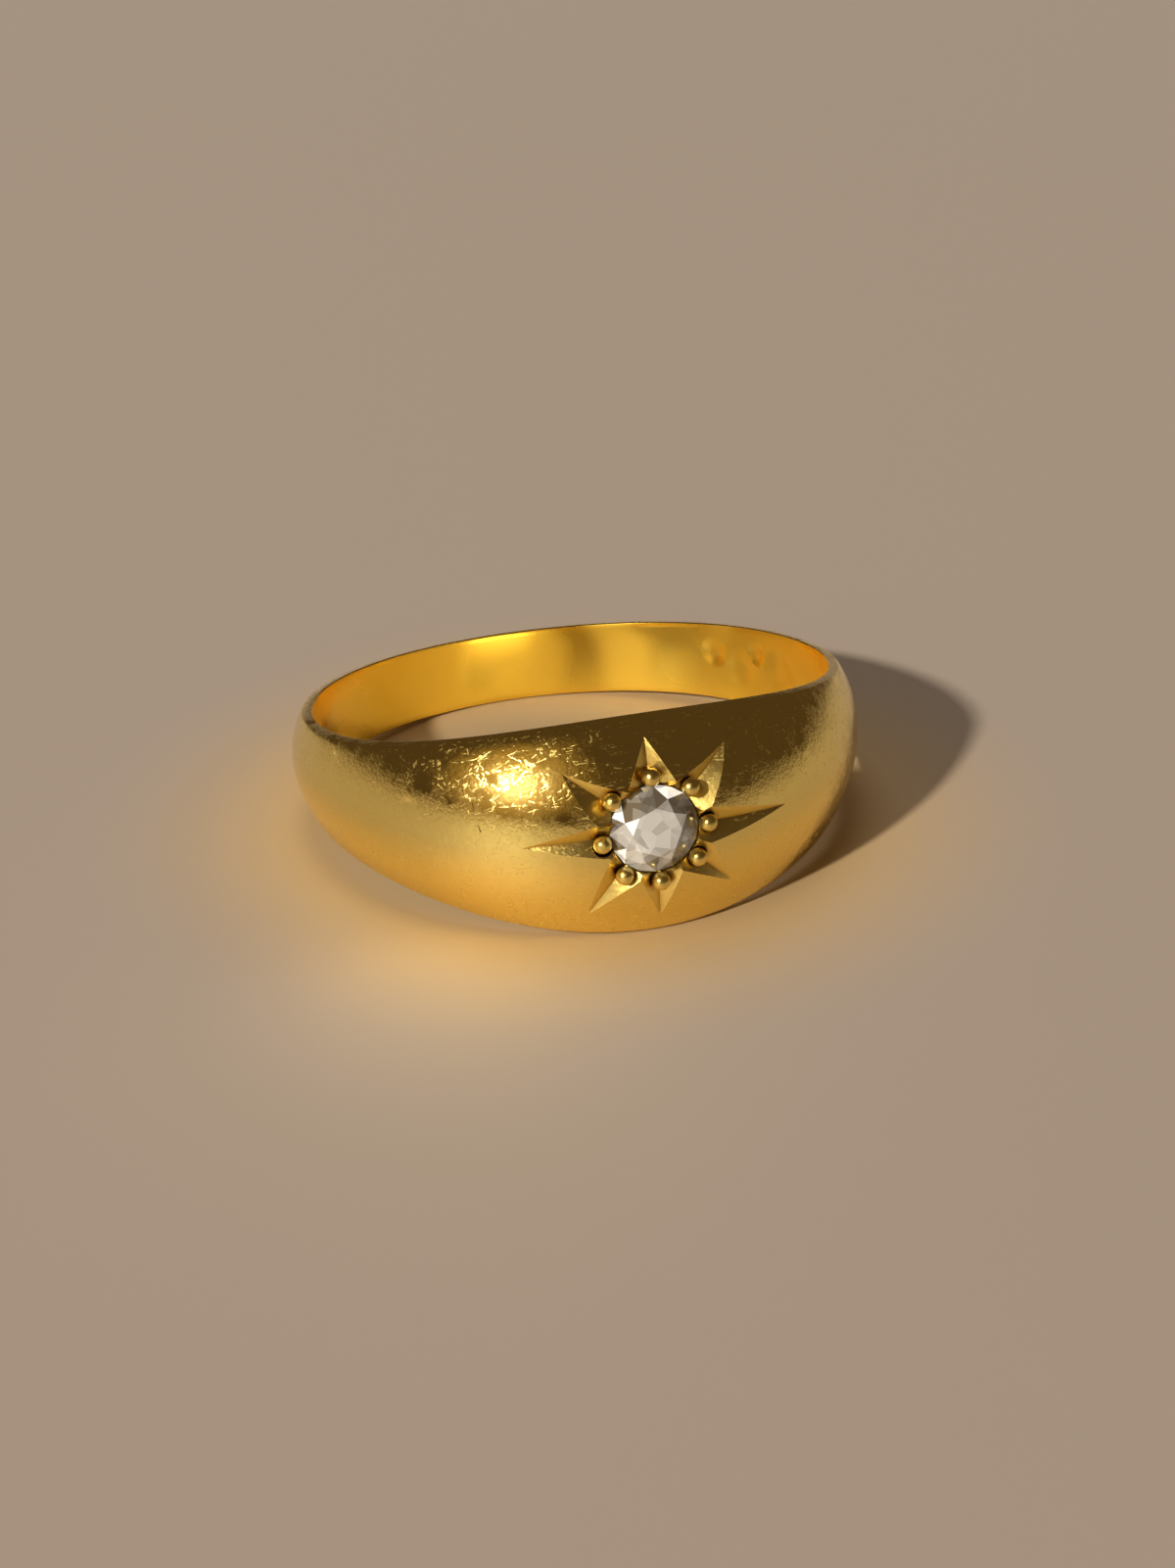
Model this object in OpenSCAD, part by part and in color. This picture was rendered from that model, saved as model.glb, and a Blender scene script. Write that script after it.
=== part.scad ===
// Flush set gypsy ring: one tapered gold band, wide and domed at the head, with a round diamond
// sunk into it. Eight V cuts spread from the stone as a star, and a grain of the band's own metal
// at the foot of each cut holds the stone down. The ring lies on its side, as it rests by itself.

/* [Finger] */
// Inside diameter of the band
finger_d = 17.3; // [15:0.1:21]

/* [Band] */
// Width of the head, along the finger
head_w = 7.2; // [6:0.1:9]
// Width of the shank at its sides, a quarter turn from the stone
side_w = 3.35; // [2.8:0.05:4.2]
// Width of the shank at the back
back_w = 2.5; // [1.9:0.05:3.2]
// Thickness of the head at its middle
head_t = 1.7; // [1.5:0.05:2.5]
// Thickness of the shank at its middle
shank_t = 0.8; // [0.6:0.05:1.2]
// Thickness of metal left at the two edges
edge_t = 0.35; // [0.2:0.05:0.5]
// Height by which wear has bowed the edges, up at the sides and down at front and back
edge_bow = 0.12; // [0:0.02:0.3]

/* [Diamond] */
// Diameter of the stone at its girdle
stone_d = 2.9; // [2.3:0.1:3.2]
// Diameter of the table, corner to corner
table_d = 1.6; // [1:0.1:2]
// Thickness of the girdle
girdle_t = 0.08; // [0.04:0.01:0.12]
// Diameter of the open culet
culet_d = 0.3; // [0.1:0.05:0.5]
// Slope of the crown's main facets
crown_angle = 34; // [28:1:40]
// Slope of the pavilion's main facets
pavilion_angle = 38; // [34:1:42]
// Height of the table over the top of the dome
table_rise = -0.05; // [-0.2:0.05:0.2]

/* [Star cuts] */
// Length of the longest cut, from the middle of the stone
star_reach = 4.9; // [4.2:0.1:5.6]
// Depth of a cut at the edge of the stone
cut_depth = 0.55; // [0.4:0.01:0.6]
// Angle between the two walls of a cut
cut_angle = 116; // [100:2:130]

/* [Grains] */
// Diameter of a grain
grain_d = 0.6; // [0.4:0.02:0.7]
// Gap between the stone and the metal round it
stone_gap = 0.03; // [0.02:0.01:0.06]
// Diameter of the hole drilled through the head under the stone
drill_d = 1.7; // [1.2:0.1:2]

/* [Hidden] */
$fn = 96;

bore_r = finger_d / 2;
stone_r = stone_d / 2;
dome_top = bore_r + head_t;

// The band is swept through sections, each a dome of points over two flat edges.
section_step = 5;
dome_step = 0.125;
// Share of a cut's length between two of its sections
cut_step = 0.2;
// Powers that give the head its length: the higher, the shorter the head.
width_power = 4;
thickness_power = 5.6;
// How far the swept band reaches inside the finger hole, which is then bored through it
bore_stock = 0.5;
// How far a tool overshoots the metal that it cuts
overshoot = 1;

// How near the head a place is, from 1 at the stone to 0 at the back. Angles start at the stone.
function nearness(angle) = (1 + cos(angle)) / 2;

// The width falls in a short flare behind the head and then in an even taper to the back.
flare_share = pow(2, width_power - 1);
taper_w = (2 * flare_share * (side_w - back_w) - (head_w - back_w)) / (flare_share - 1);
flare_w = head_w - back_w - taper_w;
function band_w(angle) =
    back_w + taper_w * nearness(angle) + flare_w * pow(nearness(angle), width_power);
function band_t(angle) = shank_t + (head_t - shank_t) * pow(nearness(angle), thickness_power);
function edge_shift(angle) = -edge_bow * cos(2 * angle);

// A point of the outside, with across running from -1 at the lower edge to 1 at the upper one
function dome_r(angle, across) = bore_r + edge_t + (band_t(angle) - edge_t) * (1 - pow(across, 2));
function round_to(angle, radius, height) = [radius * sin(angle), -radius * cos(angle), height];
function dome_point(angle, across) =
    round_to(angle, dome_r(angle, across), edge_shift(angle) + across * band_w(angle) / 2);

// The place on the dome so many millimetres round the band and along the finger from the middle of
// the head, as seen from the head: across, up, and out from the top of the dome
function head_point(round_mm, along_mm) =
    let (
        angle = round_mm / dome_top * 180 / PI,
        p = dome_point(angle, (along_mm - edge_shift(angle)) / (band_w(angle) / 2))
    )
    [p[0], p[2], -p[1] - dome_top];

// The star as the graver left it, a row for each cut: its direction in degrees round the stone,
// its reach as a share of the longest, its depth as a share of the deepest, and the direction of
// the grain raised at its foot
DIRECTION = 0;
REACH = 1;
DEPTH = 2;
GRAIN = 3;
STAR = [
    [-2, 1.00, 0.85, -1],
    [39, 0.75, 1.00, 45],
    [90, 0.59, 1.00, 91],
    [145, 0.735, 0.95, 140],
    [183, 0.89, 0.80, 188],
    [229, 0.745, 0.85, 232],
    [273, 0.635, 0.90, 273],
    [320, 0.745, 0.85, 320]
];

// Stone: heights are measured from the middle of the girdle, along the stone's own axis.
FOLDS = 8;
half_fold = 180 / FOLDS;
// How far the star facets reach towards the girdle, and the lower halves towards the culet
star_share = 0.5;
lower_share = 0.75;
table_r = table_d / 2;
culet_r = culet_d / 2;
girdle_top = girdle_t / 2;
table_h = girdle_top + (stone_r - table_r) * tan(crown_angle);
culet_h = girdle_top + (stone_r - culet_r * cos(half_fold)) * tan(pavilion_angle);
star_r = table_r * cos(half_fold) + star_share * (stone_r - table_r * cos(half_fold));
star_h = girdle_top + (stone_r - star_r * cos(half_fold)) * tan(crown_angle);
lower_r = stone_r - lower_share * (stone_r - culet_r);
lower_h = girdle_top + (stone_r - lower_r * cos(half_fold)) * tan(pavilion_angle);
girdle_depth = table_h - table_rise;

// A grain stands on a post out of the metal, and its ball leans over the girdle's upper edge.
grain_r = grain_d / 2;
grain_lean = 25;
grain_reach = stone_r + (grain_r + stone_gap) * cos(grain_lean);
grain_h = girdle_top - girdle_depth + (grain_r + stone_gap) * sin(grain_lean);
post_r = 0.7 * grain_r;

// Resting place: the inner front corner and the outer back corner of the lower edge lie on the floor.
// The origin is on the floor, halfway between the lowest grain in front and the back of the shank.
front_low = edge_shift(0) - band_w(0) / 2;
back_low = edge_shift(180) - band_w(180) / 2;
rest_tilt = atan2(back_low - front_low, 2 * bore_r + edge_t);
rest_lift = -(bore_r * sin(rest_tilt) + front_low * cos(rest_tilt));
front_reach = (dome_top + grain_h) * cos(rest_tilt) + grain_reach * sin(rest_tilt) + grain_r;
back_reach = (bore_r + shank_t) * cos(rest_tilt);
rest_shift = (front_reach - back_reach) / 2;

module at_rest() {
    translate([0, rest_shift, rest_lift]) rotate([-rest_tilt, 0, 0]) children();
}

// Everything set in the head is drawn with the middle of the dome at the origin and Z outwards.
module at_head() {
    translate([0, -dome_top, 0]) rotate([90, 0, 0]) children();
}

// The band before it is bored and cut
module band_blank() {
    across = concat([-1], [for (s = [-1:dome_step:1]) s], [1]);
    last = len(across) - 1;
    sections = [
        for (angle = [0:section_step:360 - section_step])
            [for (i = [0:last])
                (i == 0 || i == last)
                    ? round_to(angle, bore_r - bore_stock,
                        edge_shift(angle) + across[i] * band_w(angle) / 2)
                    : dome_point(angle, across[i])]
    ];
    n = len(across);
    m = len(sections);
    points = [for (section = sections) each section];
    faces = [
        for (i = [0:m - 1]) for (j = [0:n - 1])
            let (
                here = i * n, next = (i + 1) % m * n, up = (j + 1) % n
            )
            each [[here + j, here + up, next + up], [here + j, next + up, next + j]]
    ];
    polyhedron(points, faces);
}

// One V cut: a wedge lofted through a few three-cornered sections. Its keel starts deep at the
// stone's edge, comes up evenly under the dome and leaves the metal at the cut's tip.
module star_cut(row) {
    along = [cos(row[DIRECTION]), sin(row[DIRECTION]), 0];
    sideways = [-along[1], along[0], 0];
    start = stone_r - stone_gap;
    length = star_reach * row[REACH] - start;
    depth = cut_depth * row[DEPTH];
    height = 2 * cut_depth;
    spread = height * tan(cut_angle / 2);
    points = [
        for (share = [0:cut_step:1 + cut_step])
            let (
                reach = start + share * length,
                keel = head_point(reach * along[0], reach * along[1]) - [0, 0, depth * (1 - share)],
                top = keel + [0, 0, height]
            )
            each [keel, top + spread * sideways, top - spread * sideways]
    ];
    last = len(points) - 3;
    faces = concat(
        [[0, 1, 2], [last + 2, last + 1, last]],
        [
            for (i = [0:3:last - 3]) for (j = [0:2])
                let (k = (j + 1) % 3)
                each [[i + k, i + j, i + 3 + j], [i + k, i + 3 + j, i + 3 + k]]
        ]
    );
    at_head() polyhedron(points, faces);
}

// Pocket for the stone, its cone and the hole drilled below it, as one turned cutter
module stone_seat() {
    pocket_r = stone_r + stone_gap;
    drill_r = drill_d / 2;
    pocket_floor = -girdle_depth - girdle_top - stone_gap;
    cone_floor = pocket_floor - (pocket_r - drill_r) * tan(pavilion_angle);
    drill_floor = -head_t - overshoot;
    at_head() rotate_extrude()
        polygon([
            [0, drill_floor], [drill_r, drill_floor], [drill_r, cone_floor],
            [pocket_r, pocket_floor], [pocket_r, overshoot], [0, overshoot]
        ]);
}

// A grain is a ball on a post, and the post stands in the floor of its cut.
module grain(row) {
    at_head() rotate([0, 0, row[GRAIN]]) translate([grain_reach, 0, 0]) {
        translate([0, 0, grain_h]) sphere(r = grain_r, $fn = 32);
        translate([0, 0, edge_t - head_t])
            cylinder(r = post_r, h = head_t - edge_t + grain_h, $fn = 32);
    }
}

module band() {
    color("goldenrod") at_rest() {
        difference() {
            band_blank();
            translate([0, 0, -head_w]) cylinder(r = bore_r, h = 2 * head_w, $fn = 180);
            for (row = STAR) star_cut(row);
            stone_seat();
        }
        for (row = STAR) grain(row);
    }
}

// Corners of the stone, ring by ring from the table down, and the facets between them
module diamond() {
    function ring(count, turn, radius, height) =
        [for (k = [0:count - 1])
            let (angle = k * 360 / count + turn) [radius * cos(angle), radius * sin(angle), height]];
    corners = concat(
        ring(FOLDS, 0, table_r, table_h),
        ring(FOLDS, half_fold, star_r, star_h),
        ring(2 * FOLDS, 0, stone_r, girdle_top),
        ring(2 * FOLDS, 0, stone_r, -girdle_top),
        ring(FOLDS, half_fold, lower_r, -lower_h),
        ring(FOLDS, half_fold, culet_r, -culet_h)
    );
    function table(k) = k % FOLDS;
    function star(k) = FOLDS + k % FOLDS;
    function upper(k) = 2 * FOLDS + k % (2 * FOLDS);
    function under(k) = 4 * FOLDS + k % (2 * FOLDS);
    function lower(k) = 6 * FOLDS + k % FOLDS;
    function culet(k) = 7 * FOLDS + k % FOLDS;
    all = [0:FOLDS - 1];
    before = FOLDS - 1;
    facets = concat(
        [[for (k = [FOLDS - 1:-1:0]) table(k)]],
        [for (k = all) [table(k), table(k + 1), star(k)]],
        [for (k = all) [table(k), star(k), upper(2 * k), star(k + before)]],
        [for (k = all) [upper(2 * k), star(k), upper(2 * k + 1)]],
        [for (k = all) [upper(2 * k + 1), star(k), upper(2 * k + 2)]],
        [for (k = [0:2 * FOLDS - 1]) [upper(k), upper(k + 1), under(k + 1), under(k)]],
        [for (k = all) [under(2 * k), under(2 * k + 1), lower(k)]],
        [for (k = all) [under(2 * k + 1), under(2 * k + 2), lower(k)]],
        [for (k = all) [culet(k + before), lower(k + before), under(2 * k), lower(k), culet(k)]],
        [[for (k = all) culet(k)]]
    );
    color("lightgray", 0.7) at_rest() at_head() translate([0, 0, -girdle_depth])
        polyhedron(corners, facets);
}

band();
diamond();
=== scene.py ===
import math

import bmesh
import bpy
from mathutils import Matrix, Vector


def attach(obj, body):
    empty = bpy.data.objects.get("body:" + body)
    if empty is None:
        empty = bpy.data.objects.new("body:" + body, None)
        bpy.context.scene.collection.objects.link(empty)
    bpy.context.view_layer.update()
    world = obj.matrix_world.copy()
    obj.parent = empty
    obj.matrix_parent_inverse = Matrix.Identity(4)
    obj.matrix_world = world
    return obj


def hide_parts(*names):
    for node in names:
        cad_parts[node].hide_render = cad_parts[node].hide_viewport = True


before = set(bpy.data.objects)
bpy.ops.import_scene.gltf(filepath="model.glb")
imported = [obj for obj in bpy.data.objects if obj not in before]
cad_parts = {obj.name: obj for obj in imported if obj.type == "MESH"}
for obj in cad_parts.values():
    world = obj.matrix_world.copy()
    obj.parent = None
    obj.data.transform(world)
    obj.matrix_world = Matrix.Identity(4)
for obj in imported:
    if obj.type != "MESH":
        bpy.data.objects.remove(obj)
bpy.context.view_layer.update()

# The photographer's view: a phone held in front of the ring, a little to the left of its stone and
# above it, so that it looks through the finger hole at the inside of the shank.
MM = 0.001
REST_TILT = math.radians(7.584)
REST_SHIFT = 0.5385 * MM
REST_LIFT = 2.5458 * MM
CAMERA_DISTANCE = 140 * MM
CAMERA_AZIMUTH = math.radians(-13.785)
CAMERA_ELEVATION = math.radians(19.49)
CAMERA_ROLL = math.radians(-3.892)
PHOTO_SIZE = (1200, 1601)
RING_CENTRE_PX = (585.77, 750.77)
PX_PER_MM = 30.392
SENSOR_MM = 36
NEAREST_SEEN = 10 * MM

# The ring's own frame has the finger hole along Z and the stone at -Y. At rest it is tipped forward
# until the wide head and the narrow back both lie on the floor.
AT_REST = Matrix.Translation((0, REST_SHIFT, REST_LIFT)) @ Matrix.Rotation(-REST_TILT, 4, "X")

focal_px = PX_PER_MM * CAMERA_DISTANCE / MM
back = Vector((
    math.sin(CAMERA_AZIMUTH) * math.cos(CAMERA_ELEVATION),
    -math.cos(CAMERA_AZIMUTH) * math.cos(CAMERA_ELEVATION),
    math.sin(CAMERA_ELEVATION),
))
level_right = Vector((math.cos(CAMERA_AZIMUTH), math.sin(CAMERA_AZIMUTH), 0))
level_up = back.cross(level_right)
right = math.cos(CAMERA_ROLL) * level_right + math.sin(CAMERA_ROLL) * level_up
up = math.cos(CAMERA_ROLL) * level_up - math.sin(CAMERA_ROLL) * level_right
aside = (RING_CENTRE_PX[0] - PHOTO_SIZE[0] / 2) / focal_px * CAMERA_DISTANCE
above = (PHOTO_SIZE[1] / 2 - RING_CENTRE_PX[1]) / focal_px * CAMERA_DISTANCE
eye = back * CAMERA_DISTANCE - aside * right - above * up
camera_data = bpy.data.cameras.new("camera")
camera_data.sensor_width = SENSOR_MM
camera_data.lens = focal_px * SENSOR_MM / PHOTO_SIZE[1]
camera_data.clip_start = NEAREST_SEEN
camera = bpy.data.objects.new("camera", camera_data)
bpy.context.collection.objects.link(camera)
camera.matrix_world = AT_REST @ Matrix((
    (right.x, up.x, back.x, eye.x),
    (right.y, up.y, back.y, eye.y),
    (right.z, up.z, back.z, eye.z),
    (0, 0, 0, 1),
))
bpy.context.scene.camera = camera

# The band: one piece of 18 carat yellow gold, forged thin at the back and left wide and thick at the
# head, filed to a dome outside, reamed round inside, polished, and then worn for many years.
BORE_R = 8.65 * MM
HEAD_W = 7.2 * MM
SIDE_W = 3.35 * MM
BACK_W = 2.5 * MM
HEAD_T = 1.7 * MM
SHANK_T = 0.8 * MM
EDGE_T = 0.35 * MM
EDGE_BOW = 0.12 * MM
EDGE_ROUND = 0.09 * MM
EDGE_ROUND_STEPS = 3
EDGE_ANGLE = math.radians(35)
# Wear has thinned the head at its upper edge, and sloped the upper edge outwards all round the ring.
HEAD_WORN = 0.12 * MM
HEAD_WORN_POWER = 3
EDGE_WORN = 0.08 * MM
EDGE_WORN_POWER = 16
# Powers that say how steeply the shank flares into the head
WIDTH_POWER = 4
THICKNESS_POWER = 5.6
DOME_TOP = BORE_R + HEAD_T
# Steps of the mesh round the ring, over the dome and along the finger hole
SECTIONS = 288
ACROSS = 44
BORE_ACROSS = 12
# Points closer than this are one point, faces thinner than this are none, and points within this of a
# section or an edge lie on it
WELD = 0.001 * MM
SLIVER = 0.0001 * MM
ALONGSIDE = 0.01 * MM

flare_share = 2 ** (WIDTH_POWER - 1)
taper_w = (2 * flare_share * (SIDE_W - BACK_W) - (HEAD_W - BACK_W)) / (flare_share - 1)
flare_w = HEAD_W - BACK_W - taper_w


def nearness(angle):
    # 1 in the middle of the head, 0 at the back
    return (1 + math.cos(angle)) / 2


def band_width(angle):
    return BACK_W + taper_w * nearness(angle) + flare_w * nearness(angle) ** WIDTH_POWER


def dome_height(angle):
    return SHANK_T - EDGE_T + (HEAD_T - SHANK_T) * nearness(angle) ** THICKNESS_POWER


def edge_shift(angle):
    return -EDGE_BOW * math.cos(2 * angle)


def outer_radius(angle, across):
    # Across runs from -1 at the lower edge to 1 at the upper one.
    worn_off = HEAD_WORN * nearness(angle) ** HEAD_WORN_POWER * max(across, 0) ** 2
    return BORE_R + EDGE_T + dome_height(angle) * (1 - across ** 2) - worn_off


def worn_down(across):
    return EDGE_WORN * max(across, 0) ** EDGE_WORN_POWER


def round_to(angle, radius, height=0.0):
    return Vector((radius * math.sin(angle), -radius * math.cos(angle), height))


def deselect_everything():
    if bpy.context.object and bpy.context.object.mode == "EDIT":
        bpy.ops.object.mode_set(mode="OBJECT")
    bpy.ops.object.select_all(action="DESELECT")


def apply_modifier(piece, kind, **settings):
    deselect_everything()
    bpy.context.view_layer.objects.active = piece
    piece.select_set(True)
    modifier = piece.modifiers.new(kind.lower(), kind)
    for name, value in settings.items():
        setattr(modifier, name, value)
    bpy.ops.object.modifier_apply(modifier=modifier.name)


# The head's section: a closed wire, flat along the finger hole and domed outside
deselect_everything()
bpy.ops.mesh.primitive_circle_add(vertices=ACROSS + BORE_ACROSS + 2, radius=HEAD_T)
band = bpy.context.object
band.name = "gold_band"
band.data.name = "gold_band"
bpy.ops.object.mode_set(mode="EDIT")
wire = bmesh.from_edit_mesh(band.data)
wire.verts.ensure_lookup_table()
for i in range(ACROSS + 1):
    across = 2 * i / ACROSS - 1
    radius = BORE_R + EDGE_T + dome_height(0) * (1 - across ** 2)
    wire.verts[i].co = round_to(0, radius, across * HEAD_W / 2)
for i in range(BORE_ACROSS + 1):
    across = 1 - 2 * i / BORE_ACROSS
    wire.verts[ACROSS + 1 + i].co = round_to(0, BORE_R, across * HEAD_W / 2)
bmesh.update_edit_mesh(band.data)
bpy.ops.mesh.select_all(action="SELECT")
bpy.ops.mesh.spin(
    steps=SECTIONS, angle=2 * math.pi, center=(0, 0, 0), axis=(0, 0, 1), use_auto_merge=True
)
bpy.ops.mesh.select_all(action="SELECT")
bpy.ops.mesh.remove_doubles(threshold=WELD)

# Each section is drawn in to its own width and thickness, as the smith tapers the blank.
bpy.ops.object.mode_set(mode="OBJECT")
for i in range(SECTIONS):
    angle = 2 * math.pi * i / SECTIONS
    line = round_to(angle, 1)
    in_section = [
        v for v in band.data.vertices
        if v.co.dot(line) > BORE_R / 2 and abs(v.co.cross(line).z) < ALONGSIDE
    ]
    outer = [v for v in in_section if v.co.dot(line) > BORE_R + EDGE_T - ALONGSIDE]
    lowered = {v.index: worn_down(2 * v.co.z / HEAD_W) for v in outer}
    for v in outer:
        v.co += (outer_radius(angle, 2 * v.co.z / HEAD_W) - v.co.dot(line)) * line
    for v in in_section:
        drawn_in = v.co.z * band_width(angle) / HEAD_W
        v.co.z = drawn_in + edge_shift(angle) - lowered.get(v.index, 0)

bpy.ops.object.mode_set(mode="EDIT")
bpy.ops.mesh.select_all(action="SELECT")
bpy.ops.mesh.normals_make_consistent(inside=False)
apply_modifier(
    band, "BEVEL", width=EDGE_ROUND, segments=EDGE_ROUND_STEPS, limit_method="ANGLE",
    angle_limit=EDGE_ANGLE,
)

# The seat: a round pocket for the stone, a cone for its pavilion, and a drilled hole that lets light in
STONE_R = 1.45 * MM
STONE_GAP = 0.03 * MM
GIRDLE_HALF = 0.04 * MM
GIRDLE_DEPTH = 0.5284 * MM
PAVILION_ANGLE = math.radians(38)
DRILL_R = 0.85 * MM
SEAT_SIDES = 96
RIGHT_THROUGH = 3 * HEAD_T

# Out of the head: across, up and outwards, from the top of the dome
AT_HEAD = Matrix((
    (1, 0, 0, 0),
    (0, 0, -1, -DOME_TOP),
    (0, 1, 0, 0),
    (0, 0, 0, 1),
))


def cut_with(tool, operation="DIFFERENCE"):
    apply_modifier(band, "BOOLEAN", operation=operation, object=tool, solver="MANIFOLD")
    bpy.data.objects.remove(tool)


pocket_r = STONE_R + STONE_GAP
pocket_floor = -GIRDLE_DEPTH - GIRDLE_HALF - STONE_GAP
cone_floor = pocket_floor - (pocket_r - DRILL_R) * math.tan(PAVILION_ANGLE)
profile = [
    (0, -RIGHT_THROUGH), (DRILL_R, -RIGHT_THROUGH), (DRILL_R, cone_floor),
    (pocket_r, pocket_floor), (pocket_r, HEAD_T), (0, HEAD_T),
]
deselect_everything()
bpy.ops.mesh.primitive_circle_add(vertices=len(profile), radius=STONE_R)
seat_tool = bpy.context.object
for vertex, (radius, height) in zip(seat_tool.data.vertices, profile):
    vertex.co = (radius, 0, height)
bpy.ops.object.mode_set(mode="EDIT")
bpy.ops.mesh.select_all(action="SELECT")
bpy.ops.mesh.spin(
    steps=SEAT_SIDES, angle=2 * math.pi, center=(0, 0, 0), axis=(0, 0, 1), use_auto_merge=True
)
bpy.ops.mesh.select_all(action="SELECT")
bpy.ops.mesh.remove_doubles(threshold=WELD)
bpy.ops.mesh.dissolve_degenerate(threshold=SLIVER)
bpy.ops.mesh.normals_make_consistent(inside=False)
bpy.ops.object.mode_set(mode="OBJECT")
seat_tool.data.transform(AT_HEAD)

# The star: a graver's V cuts, deepest beside the stone and running out to a point. Each row gives a
# cut's direction round the stone, its reach and depth, and the direction of the grain at its foot.
STAR_REACH = 4.9 * MM
CUT_DEPTH = 0.55 * MM
CUT_ANGLE = math.radians(116)
CUT_STEPS = 12
STAR = [
    (-2, 1.00, 0.85, -1),
    (39, 0.75, 1.00, 45),
    (90, 0.59, 1.00, 91),
    (145, 0.735, 0.95, 140),
    (183, 0.89, 0.80, 188),
    (229, 0.745, 0.85, 232),
    (273, 0.635, 0.90, 273),
    (320, 0.745, 0.85, 320),
]


def head_point(turned, along):
    angle = turned / DOME_TOP
    across = (along - edge_shift(angle)) / (band_width(angle) / 2)
    place = round_to(angle, outer_radius(angle, across), along)
    return Vector((place.x, place.z, -place.y - DOME_TOP))


def star_tool(direction, reach, depth):
    line = Vector((math.cos(math.radians(direction)), math.sin(math.radians(direction)), 0))
    aside = Vector((-line.y, line.x, 0))
    start = STONE_R - STONE_GAP
    length = STAR_REACH * reach - start
    height = 2 * CUT_DEPTH
    half_width = height * math.tan(CUT_ANGLE / 2)
    outline = [(0, 0), (half_width, height), (-half_width, height)]
    tool = bmesh.new()
    rings = []
    for step in range(CUT_STEPS + 2):
        share = step / CUT_STEPS
        at = start + share * length
        deep = CUT_DEPTH * depth * (1 - share)
        keel = head_point(at * line.x, at * line.y) - Vector((0, 0, deep))
        rings.append([tool.verts.new(keel + x * aside + Vector((0, 0, z))) for x, z in outline])
    tool.faces.new(rings[0])
    tool.faces.new(reversed(rings[-1]))
    for ring, after in zip(rings, rings[1:]):
        for i in range(len(ring)):
            j = (i + 1) % len(ring)
            tool.faces.new((ring[j], ring[i], after[i], after[j]))
    bmesh.ops.recalc_face_normals(tool, faces=tool.faces)
    mesh = bpy.data.meshes.new("star_tool")
    tool.to_mesh(mesh)
    tool.free()
    mesh.transform(AT_HEAD)
    cutter = bpy.data.objects.new("star_tool", mesh)
    bpy.context.collection.objects.link(cutter)
    return cutter


for direction, reach, depth, _ in STAR:
    cut_with(star_tool(direction, reach, depth))
cut_with(seat_tool)

# The grains: curls of the band's own metal, raised at the foot of each cut and rounded with a cupped
# beading tool, whose rim leaves a small hollow in the metal round each of them.
GRAIN_R = 0.3 * MM
GRAIN_LEAN = math.radians(25)
GRAIN_SIDES = 28
POST_R = 0.7 * GRAIN_R
POST_LENGTH = HEAD_T / 2
HOLLOW_R = 0.385 * MM
HOLLOW_LIFT = 0.09 * MM
HOLLOW_SIDES = 32
BALL_RINGS = 16
grain_reach = STONE_R + (GRAIN_R + STONE_GAP) * math.cos(GRAIN_LEAN)
grain_height = GIRDLE_HALF - GIRDLE_DEPTH + (GRAIN_R + STONE_GAP) * math.sin(GRAIN_LEAN)
for _, _, _, direction in STAR:
    turn = math.radians(direction)
    foot = Vector((grain_reach * math.cos(turn), grain_reach * math.sin(turn), grain_height))
    deselect_everything()
    bpy.ops.mesh.primitive_uv_sphere_add(segments=HOLLOW_SIDES, ring_count=BALL_RINGS, radius=HOLLOW_R)
    hollow = bpy.context.object
    hollow.data.transform(AT_HEAD @ Matrix.Translation(foot + Vector((0, 0, HOLLOW_LIFT))))
    cut_with(hollow)
    deselect_everything()
    bpy.ops.mesh.primitive_uv_sphere_add(segments=GRAIN_SIDES, ring_count=BALL_RINGS, radius=GRAIN_R)
    ball = bpy.context.object
    ball.data.transform(AT_HEAD @ Matrix.Translation(foot))
    cut_with(ball, "UNION")
    deselect_everything()
    bpy.ops.mesh.primitive_cylinder_add(vertices=GRAIN_SIDES, radius=POST_R, depth=POST_LENGTH)
    post = bpy.context.object
    post.data.transform(AT_HEAD @ Matrix.Translation(foot - Vector((0, 0, POST_LENGTH / 2))))
    cut_with(post, "UNION")

# Wear that has a shape of its own: a nick in the upper edge at the back, and one deep scratch across
# the dome to the left of the star, whose ends are in millimetres round and up from the star's middle
NICK_TURN = math.radians(149)
NICK_R = 0.22 * MM
NICK_LIFT = 0.16 * MM
NICK_SIDES = 20
SCRATCH_ENDS = [(-6.03, 1.15), (-5.74, 0.24)]
SCRATCH_R = 0.02 * MM
SCRATCH_SIDES = 12
deselect_everything()
bpy.ops.mesh.primitive_uv_sphere_add(segments=NICK_SIDES, ring_count=NICK_SIDES // 2, radius=NICK_R)
nick = bpy.context.object
upper_edge = edge_shift(NICK_TURN) + band_width(NICK_TURN) / 2
nick.data.transform(
    Matrix.Translation(round_to(NICK_TURN, BORE_R + EDGE_T / 2, upper_edge + NICK_LIFT))
)
cut_with(nick)
start, end = [AT_HEAD @ head_point(turned * MM, along * MM) for turned, along in SCRATCH_ENDS]
run = end - start
deselect_everything()
bpy.ops.mesh.primitive_cylinder_add(vertices=SCRATCH_SIDES, radius=SCRATCH_R, depth=run.length)
scratch = bpy.context.object
scratch.data.transform(
    Matrix.Translation((start + end) / 2) @ run.to_track_quat("Z", "Y").to_matrix().to_4x4()
)
cut_with(scratch)

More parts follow.
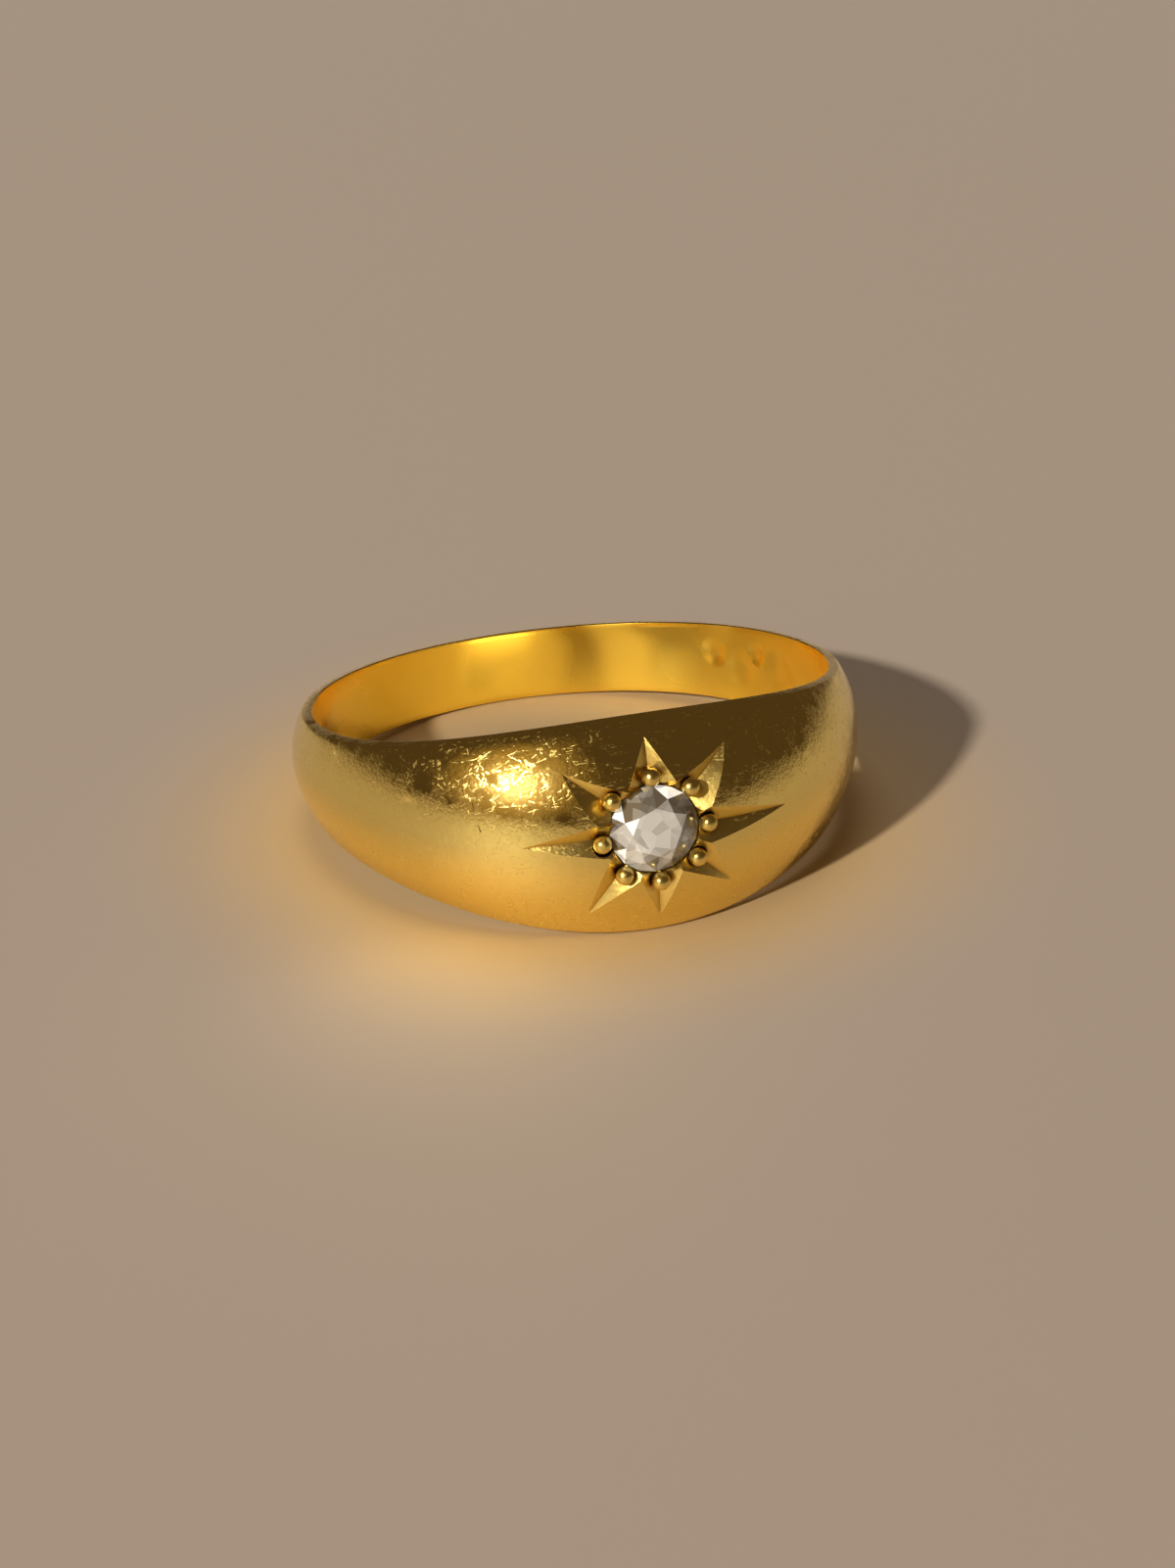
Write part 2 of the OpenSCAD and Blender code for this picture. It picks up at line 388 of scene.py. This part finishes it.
# Faces that the graver or the beading tool made lie off the dome, and are satin rather than polished.
# So is the finger hole, where the finger has rubbed it for years.
OFF_DOME = 0.012 * MM
CUTS_WITHIN = 0.9
RUBBED_WITHIN = 0.98
SMOOTH_BELOW = math.radians(24)
graved = band.data.attributes.new("graved", "FLOAT", "FACE")
rubbed = band.data.attributes.new("rubbed", "FLOAT", "FACE")
for face in band.data.polygons:
    centre = face.center
    angle = math.atan2(centre.x, -centre.y)
    across = (centre.z - edge_shift(angle)) / (band_width(angle) / 2)
    radius = math.hypot(centre.x, centre.y)
    by_stone = (centre - AT_HEAD.translation).length < STAR_REACH and abs(across) < CUTS_WITHIN
    off_dome = abs(radius - outer_radius(angle, across)) > OFF_DOME
    if by_stone and off_dome and radius > BORE_R + EDGE_T:
        graved.data[face.index].value = 1
    if radius < BORE_R + OFF_DOME and abs(across) < RUBBED_WITHIN:
        rubbed.data[face.index].value = 1

band.data.transform(AT_REST)
deselect_everything()
bpy.context.view_layer.objects.active = band
band.select_set(True)
bpy.ops.object.shade_smooth_by_angle(angle=SMOOTH_BELOW)
apply_modifier(band, "WEIGHTED_NORMAL", keep_sharp=True, weight=60)


def linear(hex_colour):
    channels = [int(hex_colour[i:i + 2], 16) / 255 for i in (1, 3, 5)]
    return [c / 12.92 if c <= 0.04045 else ((c + 0.055) / 1.055) ** 2.4 for c in channels] + [1]


def add_node(tree, kind, settings=None, values=None, links=None):
    node = tree.nodes.new(kind)
    for name, value in (settings or {}).items():
        setattr(node, name, value)
    for socket, value in (values or {}).items():
        node.inputs[socket].default_value = value
    for socket, source in (links or {}).items():
        tree.links.new(source, node.inputs[socket])
    return node


# 18 carat yellow gold, polished and then scratched by wear: a deep warm mirror, slightly wavy from hand
# finishing, whose fine pits and short hairlines sparkle beside the lamp's reflection. Inside, the finger
# has rubbed it to an uneven satin, and its colour there is painted deeper, for the light that the gold
# throws back and forth inside the ring. Painted shade darkens it in the nooks and on the graved faces.
GOLD = "#FFE486"
# Painted deeper inside, for the light that the gold throws back and forth within the ring
GOLD_INSIDE_PAINTED_DEEPER = "#FFDA58"
# Painted shade: the colour goes towards this in the nooks, by ambient occlusion, and a little on the
# graved faces
PAINTED_NOOK_SHADE = "#8A5E18"
NOOK_REACH = 0.22 * MM
GRAVED_SHADE = 0.1
GOLD_ROUGHNESS = 0.06
GRAVED_ROUGHNESS = 0.28
RUBBED_ROUGHNESS = (0.2, 0.5)
# Each row turns a set of hairlines, in degrees, and gives their length and spacing in millimetres.
HAIRLINES = [
    ((0, 0, 20), 7.0, 0.65),
    ((0, 35, 75), 6.0, 0.55),
    ((30, 60, 10), 8.0, 0.75),
    ((60, -20, 130), 6.5, 0.6),
    ((80, 15, -60), 6.5, 0.55),
]
# The share of the noise, to each side of its middle, that is hairline. Real hairlines are taken to be
# about 0.01 mm wide. These are about 0.026 mm at half their strength and 0.05 mm in all, to show.
HAIRLINE_SHARE = 0.014
HAIRLINE_DEPTH = 0.0013 * MM
HAIRLINE_ROUGHNESS = 0.36
# Each pattern of noise is cut off below its first value and full above its second.
BREAKS_PER_MM = 7
BREAKS_BETWEEN = (0.47, 0.56)
WORN_PER_MM = 1.6
WORN_BETWEEN = (0.32, 0.52)
PITS_PER_MM = 7
PITS_BETWEEN = (0.3, 0.7)
PIT_DEPTH = 0.004 * MM
WAVES_PER_MM = 0.3
WAVE_DEPTH = 0.004 * MM
RUBBED_BETWEEN = (0.34, 0.66)
# Shallow dents inside the shank, each by its place round the finger hole in degrees, its place along
# the hole and its radius in millimetres, in the ring's own frame
DENTS = [(130, 0.35, 0.6), (122, -0.1, 0.85), (117.5, 0.55, 0.5), (109, 0.2, 0.9)]
DENT_DEPTH = 0.085 * MM
DENT_FLOOR = 0.2

gold = bpy.data.materials.new("worn_polished_gold")
gold.use_nodes = True
tree = gold.node_tree
shader = tree.nodes["Principled BSDF"]
shader.inputs["Metallic"].default_value = 1
place = add_node(tree, "ShaderNodeTexCoord").outputs["Object"]
in_mm = add_node(
    tree, "ShaderNodeVectorMath", {"operation": "SCALE"}, {"Scale": 1 / MM}, {0: place}
).outputs["Vector"]
tool_made = add_node(tree, "ShaderNodeAttribute", {"attribute_name": "graved"}).outputs["Fac"]
# Painted shade in the nooks, from ambient occlusion, and a little on the graved faces
nook = add_node(
    tree, "ShaderNodeAmbientOcclusion", {"samples": 8, "only_local": True}, {"Distance": NOOK_REACH}
).outputs["AO"]
bright = add_node(
    tree, "ShaderNodeMath", {"operation": "MULTIPLY_ADD"}, {1: -GRAVED_SHADE},
    {0: tool_made, 2: nook},
).outputs[0]
colour_outside = add_node(tree, "ShaderNodeValToRGB", links={"Fac": bright})
colour_outside.color_ramp.elements[0].color = linear(PAINTED_NOOK_SHADE)
colour_outside.color_ramp.elements[1].color = linear(GOLD)
inside = add_node(tree, "ShaderNodeAttribute", {"attribute_name": "rubbed"}).outputs["Fac"]
colour = add_node(
    tree, "ShaderNodeMix", {"data_type": "RGBA"}, {7: linear(GOLD_INSIDE_PAINTED_DEEPER)},
    {0: inside, 6: colour_outside.outputs["Color"]},
).outputs[2]
tree.links.new(colour, shader.inputs["Base Color"])

web = None
for turn, length, spacing in HAIRLINES:
    stretched = add_node(
        tree, "ShaderNodeMapping",
        values={
            "Rotation": [math.radians(a) for a in turn],
            "Scale": (1 / length, 1 / spacing, 1 / spacing),
        },
        links={"Vector": in_mm},
    ).outputs["Vector"]
    strands = add_node(
        tree, "ShaderNodeTexNoise", values={"Scale": 1, "Detail": 0}, links={"Vector": stretched}
    ).outputs["Fac"]
    off_middle = add_node(
        tree, "ShaderNodeMath", {"operation": "SUBTRACT"}, {1: 0.5}, {0: strands}
    ).outputs[0]
    beside = add_node(
        tree, "ShaderNodeMath", {"operation": "ABSOLUTE"}, links={0: off_middle}
    ).outputs[0]
    hairline = add_node(
        tree, "ShaderNodeMapRange", {"interpolation_type": "SMOOTHSTEP"},
        {"From Max": HAIRLINE_SHARE, "To Min": 1.0, "To Max": 0.0}, {"Value": beside},
    ).outputs["Result"]
    if web is None:
        web = hairline
    else:
        web = add_node(
            tree, "ShaderNodeMath", {"operation": "MAXIMUM"}, links={0: web, 1: hairline}
        ).outputs[0]
wear_noise = add_node(
    tree, "ShaderNodeTexNoise", values={"Scale": WORN_PER_MM, "Detail": 3, "Roughness": 0.6},
    links={"Vector": in_mm},
).outputs["Fac"]
worn_patches = add_node(
    tree, "ShaderNodeMapRange",
    values={"From Min": WORN_BETWEEN[0], "From Max": WORN_BETWEEN[1]}, links={"Value": wear_noise},
).outputs["Result"]
outside = add_node(
    tree, "ShaderNodeMath", {"operation": "SUBTRACT"}, {0: 1}, {1: inside}
).outputs[0]
worn = add_node(
    tree, "ShaderNodeMath", {"operation": "MULTIPLY"}, links={0: worn_patches, 1: outside}
).outputs[0]
break_noise = add_node(
    tree, "ShaderNodeTexNoise", values={"Scale": BREAKS_PER_MM, "Detail": 1}, links={"Vector": in_mm}
).outputs["Fac"]
broken = add_node(
    tree, "ShaderNodeMapRange",
    values={"From Min": BREAKS_BETWEEN[0], "From Max": BREAKS_BETWEEN[1]},
    links={"Value": break_noise},
).outputs["Result"]
broken_web = add_node(
    tree, "ShaderNodeMath", {"operation": "MULTIPLY"}, links={0: web, 1: broken}
).outputs[0]
scratches = add_node(
    tree, "ShaderNodeMath", {"operation": "MULTIPLY"}, links={0: broken_web, 1: worn}
).outputs[0]
pit_noise = add_node(
    tree, "ShaderNodeTexNoise", values={"Scale": PITS_PER_MM, "Detail": 4, "Roughness": 0.75},
    links={"Vector": in_mm},
).outputs["Fac"]
all_pits = add_node(
    tree, "ShaderNodeMapRange", {"interpolation_type": "SMOOTHSTEP"},
    {"From Min": PITS_BETWEEN[0], "From Max": PITS_BETWEEN[1]}, {"Value": pit_noise},
).outputs["Result"]
pits = add_node(
    tree, "ShaderNodeMath", {"operation": "MULTIPLY"}, links={0: all_pits, 1: worn}
).outputs[0]
waves = add_node(
    tree, "ShaderNodeTexNoise", values={"Scale": WAVES_PER_MM, "Detail": 1}, links={"Vector": in_mm}
).outputs["Fac"]
dented = None
for turn, along, radius in DENTS:
    middle = AT_REST @ round_to(math.radians(turn), BORE_R, along * MM)
    away = add_node(
        tree, "ShaderNodeVectorMath", {"operation": "DISTANCE"}, {1: middle / MM}, {0: in_mm}
    ).outputs["Value"]
    dent = add_node(
        tree, "ShaderNodeMapRange", {"interpolation_type": "SMOOTHSTEP"},
        {"From Min": DENT_FLOOR * radius, "From Max": radius, "To Min": 1.0, "To Max": 0.0},
        {"Value": away},
    ).outputs["Result"]
    if dented is None:
        dented = dent
    else:
        dented = add_node(
            tree, "ShaderNodeMath", {"operation": "MAXIMUM"}, links={0: dented, 1: dent}
        ).outputs[0]
normal = None
for height, depth in [
    (waves, WAVE_DEPTH), (dented, DENT_DEPTH), (pits, PIT_DEPTH), (scratches, HAIRLINE_DEPTH)
]:
    under = {"Height": height}
    if normal:
        under["Normal"] = normal
    normal = add_node(
        tree, "ShaderNodeBump", {"invert": True}, {"Strength": 1, "Distance": depth}, under
    ).outputs["Normal"]
tree.links.new(normal, shader.inputs["Normal"])
rough_outside = add_node(
    tree, "ShaderNodeMapRange", values={"To Min": GOLD_ROUGHNESS, "To Max": GRAVED_ROUGHNESS},
    links={"Value": tool_made},
).outputs["Result"]
added_inside = add_node(
    tree, "ShaderNodeMapRange", {"interpolation_type": "SMOOTHSTEP"},
    {
        "From Min": RUBBED_BETWEEN[0],
        "From Max": RUBBED_BETWEEN[1],
        "To Min": RUBBED_ROUGHNESS[0] - GOLD_ROUGHNESS,
        "To Max": RUBBED_ROUGHNESS[1] - GOLD_ROUGHNESS,
    },
    {"Value": waves},
).outputs["Result"]
rough_unscratched = add_node(
    tree, "ShaderNodeMath", {"operation": "MULTIPLY_ADD"},
    links={0: inside, 1: added_inside, 2: rough_outside},
).outputs[0]
rough = add_node(
    tree, "ShaderNodeMath", {"operation": "MULTIPLY_ADD"}, {1: HAIRLINE_ROUGHNESS},
    {0: scratches, 2: rough_unscratched},
).outputs[0]
tree.links.new(rough, shader.inputs["Roughness"])
band.data.materials.clear()
band.data.materials.append(gold)
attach(band, "root")
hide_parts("band")

# The diamond: one old brilliant cut by hand, with a small table and an open culet, sunk until its
# table is level with the gold. What its inner facets throw back is painted: a tone of its own for each
# facet, lighter on facets that face left and down, with painted patches of light and shade over them,
# and a few facets painted as flashes of the lamp that glow by themselves.
DIAMOND_IOR = 2.417
DIAMOND_ROUGHNESS = 0.02
SEEN_THROUGH = 0.2
DIM = "#6B6153"
CLEAR = "#FFFFFA"
DIM_BELOW = 0.2
PATCH = 0.5 * MM
PATCH_SHARE = 0.4
FACET_STEP = 0.05
FACET_SHARE = 0.5
# Painted light: facets that face this way, to the left and down, are lighter
LIT_SIDE = (-0.2, 0.0, -0.25)
TABLE_TONE = 0.5
# How nearly a facet must face the same way as the table, or as a flash, to be taken for it: cosines
TABLE_WITHIN = (0.98, 0.99)
FLASH_WITHIN = (0.993, 0.997)
# Facets painted as flashes of the lamp's light, which also glow by themselves, by their direction round
# the stone and their tilt from its table in degrees
PAINTED_FLASHES = [(56.25, 40), (78.75, 40), (146, 40), (157.5, 22), (213.75, 40)]
PAINTED_FLASH_GLOW = 0.35
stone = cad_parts["diamond"]
diamond = bpy.data.materials.new("old_cut_diamond")
diamond.use_nodes = True
tree = diamond.node_tree
shader = tree.nodes["Principled BSDF"]
shader.inputs["Roughness"].default_value = DIAMOND_ROUGHNESS
shader.inputs["IOR"].default_value = DIAMOND_IOR
shader.inputs["Transmission Weight"].default_value = SEEN_THROUGH
place = add_node(tree, "ShaderNodeTexCoord").outputs["Object"]
patches = add_node(
    tree, "ShaderNodeTexVoronoi", values={"Scale": 1 / PATCH}, links={"Vector": place}
).outputs["Color"]
facing = add_node(tree, "ShaderNodeTexCoord").outputs["Normal"]
upright = add_node(
    tree, "ShaderNodeVectorMath", {"operation": "DOT_PRODUCT"},
    {1: AT_REST.to_3x3() @ Vector((0, -1, 0))}, {0: facing},
).outputs["Value"]
table = add_node(
    tree, "ShaderNodeMapRange",
    values={"From Min": TABLE_WITHIN[0], "From Max": TABLE_WITHIN[1]}, links={"Value": upright},
).outputs["Result"]
snapped = add_node(
    tree, "ShaderNodeVectorMath", {"operation": "SNAP"}, {1: [FACET_STEP] * 3}, {0: facing}
).outputs["Vector"]
shuffled = add_node(
    tree, "ShaderNodeTexWhiteNoise", links={"Vector": snapped}
).outputs["Value"]
lit = add_node(
    tree, "ShaderNodeVectorMath", {"operation": "DOT_PRODUCT"}, {1: LIT_SIDE}, {0: snapped}
).outputs["Value"]
facets = add_node(
    tree, "ShaderNodeMath", {"operation": "MULTIPLY_ADD"}, {1: FACET_SHARE},
    {0: shuffled, 2: lit},
).outputs[0]
flashes = None
for direction, tilt in PAINTED_FLASHES:
    turn = math.radians(direction)
    lean = math.radians(tilt)
    outward = Vector((
        math.sin(lean) * math.cos(turn), math.sin(lean) * math.sin(turn), math.cos(lean)
    ))
    toward = add_node(
        tree, "ShaderNodeVectorMath", {"operation": "DOT_PRODUCT"},
        {1: (AT_REST @ AT_HEAD).to_3x3() @ outward}, {0: facing},
    ).outputs["Value"]
    flash = add_node(
        tree, "ShaderNodeMapRange",
        values={"From Min": FLASH_WITHIN[0], "From Max": FLASH_WITHIN[1]}, links={"Value": toward},
    ).outputs["Result"]
    if flashes is None:
        flashes = flash
    else:
        flashes = add_node(
            tree, "ShaderNodeMath", {"operation": "MAXIMUM"}, links={0: flashes, 1: flash}
        ).outputs[0]
with_flashes = add_node(
    tree, "ShaderNodeMath", {"operation": "MAXIMUM"}, links={0: facets, 1: flashes}
).outputs[0]
# Painted highlight: the flash facets glow by emission
shader.inputs["Emission Strength"].default_value = PAINTED_FLASH_GLOW
tree.links.new(flashes, shader.inputs["Emission Color"])
with_table = add_node(
    tree, "ShaderNodeMix", {"data_type": "FLOAT"}, {3: TABLE_TONE}, {0: table, 2: with_flashes}
).outputs[0]
shown = add_node(
    tree, "ShaderNodeMath", {"operation": "MULTIPLY_ADD"}, {1: PATCH_SHARE},
    {0: patches, 2: with_table},
).outputs[0]
tone = add_node(tree, "ShaderNodeValToRGB", links={"Fac": shown})
tone.color_ramp.elements[0].color = linear(DIM)
tone.color_ramp.elements[0].position = DIM_BELOW
tone.color_ramp.elements[1].color = linear(CLEAR)
tree.links.new(tone.outputs["Color"], shader.inputs["Base Color"])
stone.data.materials.clear()
stone.data.materials.append(diamond)

# The floor: a plain sheet of pale, slightly glossy paper, large enough to fill every view. Its colour is
# painted warmer close to the ring, for the light that the gold throws on it, and darker and browner
# within the ring, for the shade there.
FLOOR_SIZE = 2.4
PAPER = "#B0A092"
PAPER_PAINTED_GOLD_LIGHT = "#C9A874"
PAPER_PAINTED_SHADE_WITHIN = "#9C8462"
WITHIN = 4 * MM
FAR_OFF = 17 * MM
WARMEST_AT = 0.42
PAPER_ROUGHNESS = 0.62
PAPER_GLOSS = 1
PAPER_IOR = 1.8
PAPER_SHEEN = 0.6
SHEEN_ROUGHNESS = 0.35
deselect_everything()
bpy.ops.mesh.primitive_plane_add(size=FLOOR_SIZE)
floor = bpy.context.object
floor.name = "floor"
paper = bpy.data.materials.new("pale_paper")
paper.use_nodes = True
shader = paper.node_tree.nodes["Principled BSDF"]
shader.inputs["Roughness"].default_value = PAPER_ROUGHNESS
shader.inputs["Specular IOR Level"].default_value = PAPER_GLOSS
shader.inputs["IOR"].default_value = PAPER_IOR
shader.inputs["Sheen Weight"].default_value = PAPER_SHEEN
shader.inputs["Sheen Roughness"].default_value = SHEEN_ROUGHNESS
tree = paper.node_tree
place = add_node(tree, "ShaderNodeTexCoord").outputs["Object"]
away = add_node(
    tree, "ShaderNodeVectorMath", {"operation": "LENGTH"}, links={0: place}
).outputs["Value"]
share = add_node(
    tree, "ShaderNodeMapRange", {"interpolation_type": "SMOOTHSTEP"},
    {"From Min": WITHIN, "From Max": FAR_OFF}, {"Value": away},
).outputs["Result"]
# Painted light and shade on the paper: golden light near the ring, shade within it
painted_glow_and_shade = add_node(tree, "ShaderNodeValToRGB", links={"Fac": share})
painted_glow_and_shade.color_ramp.elements[0].color = linear(PAPER_PAINTED_SHADE_WITHIN)
painted_glow_and_shade.color_ramp.elements[1].color = linear(PAPER)
painted_glow_and_shade.color_ramp.elements.new(WARMEST_AT).color = linear(PAPER_PAINTED_GOLD_LIGHT)
tree.links.new(painted_glow_and_shade.outputs["Color"], shader.inputs["Base Color"])
floor.data.materials.append(paper)

# Light: a small soft lamp on the left in front, as two in one place, the key for what isn't glossy and
# the glint for what shows in the gold, and a wide one overhead. Two tiny golden ones stand for the light
# that the gold throws: the glow in front of the head, and the bounce inside it.
KEY_AZIMUTH = math.radians(-51)
KEY_ELEVATION = math.radians(30)
KEY_DISTANCE = 2
KEY_SIZE = 0.12
KEY_WATTS = 47
GLINT_WATTS = 24
LAMP_COLOUR = (1, 0.93, 0.82)
GLOW_SIZE = 8 * MM
GLOW_WATTS = 0.00012
GLOW_COLOUR = (1, 0.72, 0.28)
GLOW_PLACE = Vector((-8.0, -10.5, 3.8)) * MM
GLOW_BACK = (0.25, 0.6, 1)
TOP_SIZE = 0.5
TOP_WATTS = 1.2
TOP_COLOUR = (1, 1, 1)
TOP_PLACE = (0, 0.2, 0.7)
BOUNCE_SIZE = 6 * MM
BOUNCE_WATTS = 0.00024
BOUNCE_COLOUR = (1, 0.78, 0.4)
BOUNCE_PLACE = Vector((3.5, -3.5, 2.0)) * MM
BOUNCE_BACK = (0.55, -0.75, -0.35)


def hang_lamp(name, shape, size, watts, colour, place, back_to):
    lamp_data = bpy.data.lights.new(name, "AREA")
    lamp_data.shape = shape
    lamp_data.size = size
    lamp_data.energy = watts
    lamp_data.color = colour
    lamp = bpy.data.objects.new(name, lamp_data)
    bpy.context.collection.objects.link(lamp)
    lamp.location = place
    lamp.rotation_euler = Vector(back_to).to_track_quat("Z", "Y").to_euler()
    return lamp


toward_key = Vector((
    math.sin(KEY_AZIMUTH) * math.cos(KEY_ELEVATION),
    -math.cos(KEY_AZIMUTH) * math.cos(KEY_ELEVATION),
    math.sin(KEY_ELEVATION),
))
key_place = toward_key * KEY_DISTANCE
key = hang_lamp("key", "DISK", KEY_SIZE, KEY_WATTS, LAMP_COLOUR, key_place, toward_key)
key.visible_glossy = False
glint = hang_lamp("glint", "DISK", KEY_SIZE, GLINT_WATTS, LAMP_COLOUR, key_place, toward_key)
glint.visible_diffuse = False
glow = hang_lamp("glow", "DISK", GLOW_SIZE, GLOW_WATTS, GLOW_COLOUR, GLOW_PLACE, GLOW_BACK)
glow.visible_glossy = False
glow.visible_camera = False
top = hang_lamp("top", "SQUARE", TOP_SIZE, TOP_WATTS, TOP_COLOUR, TOP_PLACE, TOP_PLACE)
top.visible_glossy = False
bounce = hang_lamp(
    "bounce", "DISK", BOUNCE_SIZE, BOUNCE_WATTS, BOUNCE_COLOUR, BOUNCE_PLACE, BOUNCE_BACK
)
bounce.visible_diffuse = False
bounce.visible_camera = False

# A dim room, pale low down and a little higher up on the left, with a soft glow round the lamp
ROOM = "#4A3B29"
WALL = "#C6B19A"
WALL_RISE = 0.09
WALL_BETWEEN = (-0.06, 0.04)
LAMP_GLOW = "#AE9262"
GLOW_INNER = math.radians(6)
GLOW_OUTER = math.radians(32)
world = bpy.data.worlds.new("studio")
bpy.context.scene.world = world
world.use_nodes = True
tree = world.node_tree
ways = add_node(tree, "ShaderNodeTexCoord").outputs["Generated"]
axes = add_node(tree, "ShaderNodeSeparateXYZ", links={"Vector": ways})
leaning = add_node(
    tree, "ShaderNodeMath", {"operation": "MULTIPLY_ADD"}, {1: WALL_RISE},
    {0: axes.outputs["X"], 2: axes.outputs["Z"]},
).outputs[0]
low = add_node(
    tree, "ShaderNodeMapRange", {"interpolation_type": "SMOOTHSTEP"},
    {"From Min": WALL_BETWEEN[0], "From Max": WALL_BETWEEN[1], "To Min": 1.0, "To Max": 0.0},
    {"Value": leaning},
).outputs["Result"]
room = add_node(tree, "ShaderNodeValToRGB", links={"Fac": low})
room.color_ramp.elements[0].color = linear(ROOM)
room.color_ramp.elements[1].color = linear(WALL)
near_key = add_node(
    tree, "ShaderNodeVectorMath", {"operation": "DOT_PRODUCT"}, {1: toward_key}, {0: ways}
).outputs["Value"]
halo = add_node(
    tree, "ShaderNodeMapRange", {"interpolation_type": "SMOOTHSTEP"},
    {"From Min": math.cos(GLOW_OUTER), "From Max": math.cos(GLOW_INNER)}, {"Value": near_key},
).outputs["Result"]
halo_colour = add_node(tree, "ShaderNodeValToRGB", links={"Fac": halo})
halo_colour.color_ramp.elements[0].color = (0, 0, 0, 1)
halo_colour.color_ramp.elements[1].color = linear(LAMP_GLOW)
both = add_node(
    tree, "ShaderNodeVectorMath", {"operation": "ADD"},
    links={0: room.outputs["Color"], 1: halo_colour.outputs["Color"]},
).outputs["Vector"]
tree.links.new(both, tree.nodes["Background"].inputs["Color"])
bpy.context.scene.view_settings.view_transform = "Standard"
